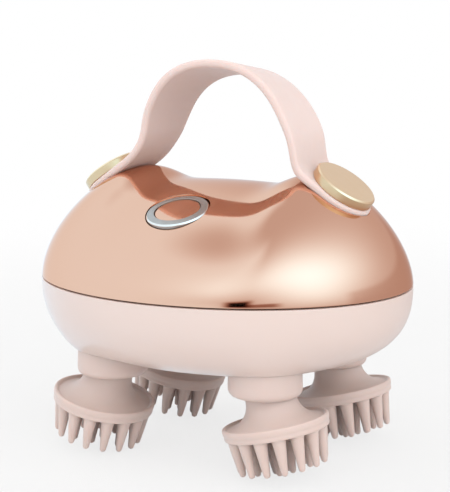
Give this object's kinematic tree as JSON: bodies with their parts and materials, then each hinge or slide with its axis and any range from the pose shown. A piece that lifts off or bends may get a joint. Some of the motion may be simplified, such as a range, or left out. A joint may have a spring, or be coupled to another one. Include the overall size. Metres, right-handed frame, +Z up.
{
  "type": "scalp massager brush",
  "caption": "Saddle-backed cordless scalp massager with a hand strap, a power button and tilted, turning silicone brush heads underneath.",
  "frame": {"origin": "centre of the bounding box's base, on the plane that the lowest bristle tips stand on", "axes": "+Z up, +X along the strap towards the user's right, -Y towards the power button"},
  "size_m": [0.12, 0.0994, 0.1207],
  "materials": {
    "rose_mirror": "rose gold vacuum-plated mirror over moulded ABS",
    "blush_shell": "pale blush ABS, satin gloss",
    "blush_silicone": "matte blush beige soft-touch",
    "brush_silicone": "matte blush beige food-grade silicone",
    "strap_silicone": "pale pink matte silicone",
    "champagne_metal": "champagne gold anodised, finely brushed face",
    "satin_ring": "satin grey ring with a polished chamfer",
    "black_rubber": "matte black",
    "steel": "machined steel",
    "brass": "turned brass",
    "acetal": "natural acetal",
    "grey_plastic": "moulded grey nylon",
    "circuit_board": "green solder mask",
    "cell_wrap": "blue cell wrap"
  },
  "bodies": {
    "housing": {"upper_shell": "rose_mirror", "lower_shell": "blush_shell", "seam_gasket": "black_rubber", "strap": "strap_silicone", "strap_knob_left": "champagne_metal", "strap_knob_right": "champagne_metal", "strap_nut_left": "steel", "strap_nut_right": "steel", "button_bezel": "satin_ring", "button_switch": "black_rubber", "switch_board": "circuit_board", "battery": "cell_wrap", "battery_tray": "grey_plastic", "control_board": "circuit_board", "charge_socket": "steel", "motor": "steel", "gear_base": "grey_plastic", "gear_cover": "grey_plastic", "drive_pin_left": "steel", "drive_pin_right": "steel", "reduction_pin": "steel", "chassis_screw_1": "steel", "chassis_screw_2": "steel", "chassis_screw_3": "steel", "chassis_screw_4": "steel", "shaft_bush_front_left": "brass", "shaft_seal_front_left": "black_rubber", "shaft_bush_front_right": "brass", "shaft_seal_front_right": "black_rubber", "shaft_bush_back_right": "brass", "shaft_seal_back_right": "black_rubber", "shaft_bush_back_left": "brass", "shaft_seal_back_left": "black_rubber"},
    "power_button": {"power_button": "rose_mirror"},
    "charge_plug": {"charge_plug": "blush_silicone"},
    "motor_rotor": {"motor_pinion": "brass", "motor_shaft": "steel"},
    "reduction_gear": {"reduction_gear": "acetal"},
    "drive_gear_left": {"drive_gear_left": "acetal"},
    "drive_gear_right": {"drive_gear_right": "acetal"},
    "spin_hub_front_left": {"output_gear_front_left": "acetal", "output_shaft_front_left": "steel", "spin_hub_front_left": "blush_silicone"},
    "brush_front_left": {"brush_core_front_left": "grey_plastic", "brush_head_front_left": "brush_silicone"},
    "spin_hub_front_right": {"output_gear_front_right": "acetal", "output_shaft_front_right": "steel", "spin_hub_front_right": "blush_silicone"},
    "brush_front_right": {"brush_core_front_right": "grey_plastic", "brush_head_front_right": "brush_silicone"},
    "spin_hub_back_right": {"output_gear_back_right": "acetal", "output_shaft_back_right": "steel", "spin_hub_back_right": "blush_silicone"},
    "brush_back_right": {"brush_core_back_right": "grey_plastic", "brush_head_back_right": "brush_silicone"},
    "spin_hub_back_left": {"output_gear_back_left": "acetal", "output_shaft_back_left": "steel", "spin_hub_back_left": "blush_silicone"},
    "brush_back_left": {"brush_core_back_left": "grey_plastic", "brush_head_back_left": "brush_silicone"}
  },
  "joints": [
    {"name": "spin_front_left", "type": "hinge", "parent": "housing", "child": "spin_hub_front_left", "pos_m": [-0.0268, -0.0226, 0.04442], "axis": [0, 0, 1], "continuous": true},
    {"name": "spin_front_right", "type": "hinge", "parent": "housing", "child": "spin_hub_front_right", "pos_m": [0.0268, -0.0226, 0.04442], "axis": [0, 0, 1], "continuous": true},
    {"name": "spin_back_right", "type": "hinge", "parent": "housing", "child": "spin_hub_back_right", "pos_m": [0.0268, 0.0226, 0.04442], "axis": [0, 0, 1], "continuous": true},
    {"name": "spin_back_left", "type": "hinge", "parent": "housing", "child": "spin_hub_back_left", "pos_m": [-0.0268, 0.0226, 0.04442], "axis": [0, 0, 1], "continuous": true},
    {"name": "turn_drive_left", "type": "hinge", "parent": "housing", "child": "drive_gear_left", "pos_m": [-0.015, 0, 0.04442], "axis": [0, 0, 1], "continuous": true},
    {"name": "turn_drive_right", "type": "hinge", "parent": "housing", "child": "drive_gear_right", "pos_m": [0.015, 0, 0.04442], "axis": [0, 0, 1], "continuous": true},
    {"name": "turn_reducer", "type": "hinge", "parent": "housing", "child": "reduction_gear", "pos_m": [-0.00375, 0.01949, 0.04442], "axis": [0, 0, 1], "continuous": true},
    {"name": "turn_motor", "type": "hinge", "parent": "housing", "child": "motor_rotor", "pos_m": [-0.00016, 0.00083, 0.04442], "axis": [0, 0, 1], "continuous": true},
    {"name": "pull_off_front_left", "type": "slide", "parent": "spin_hub_front_left", "child": "brush_front_left", "axis": [-0.213, 0, -0.977], "range_m": [0, 0.014]},
    {"name": "pull_off_front_right", "type": "slide", "parent": "spin_hub_front_right", "child": "brush_front_right", "axis": [0.213, 0, -0.977], "range_m": [0, 0.014]},
    {"name": "pull_off_back_right", "type": "slide", "parent": "spin_hub_back_right", "child": "brush_back_right", "axis": [0.213, 0, -0.977], "range_m": [0, 0.014]},
    {"name": "pull_off_back_left", "type": "slide", "parent": "spin_hub_back_left", "child": "brush_back_left", "axis": [-0.213, 0, -0.977], "range_m": [0, 0.014]},
    {"name": "press_power", "type": "slide", "parent": "housing", "child": "power_button", "axis": [0, 0.3338, -0.9426], "range_m": [0, 0.0006], "stiffness_N_per_m": 1500, "springref_m": -0.0005},
    {"name": "pull_plug", "type": "slide", "parent": "housing", "child": "charge_plug", "axis": [0, 1, 0], "range_m": [0, 0.009]}
  ],
  "couplings": [
    {"joint": "spin_back_left", "follows": "spin_front_left", "ratio": 1},
    {"joint": "spin_front_right", "follows": "spin_front_left", "ratio": -1},
    {"joint": "spin_back_right", "follows": "spin_front_left", "ratio": -1},
    {"joint": "turn_drive_left", "follows": "spin_front_left", "ratio": -0.7},
    {"joint": "turn_drive_right", "follows": "spin_front_left", "ratio": 0.7},
    {"joint": "turn_reducer", "follows": "spin_front_left", "ratio": 1.4},
    {"joint": "turn_motor", "follows": "spin_front_left", "ratio": -5.25}
  ]
}
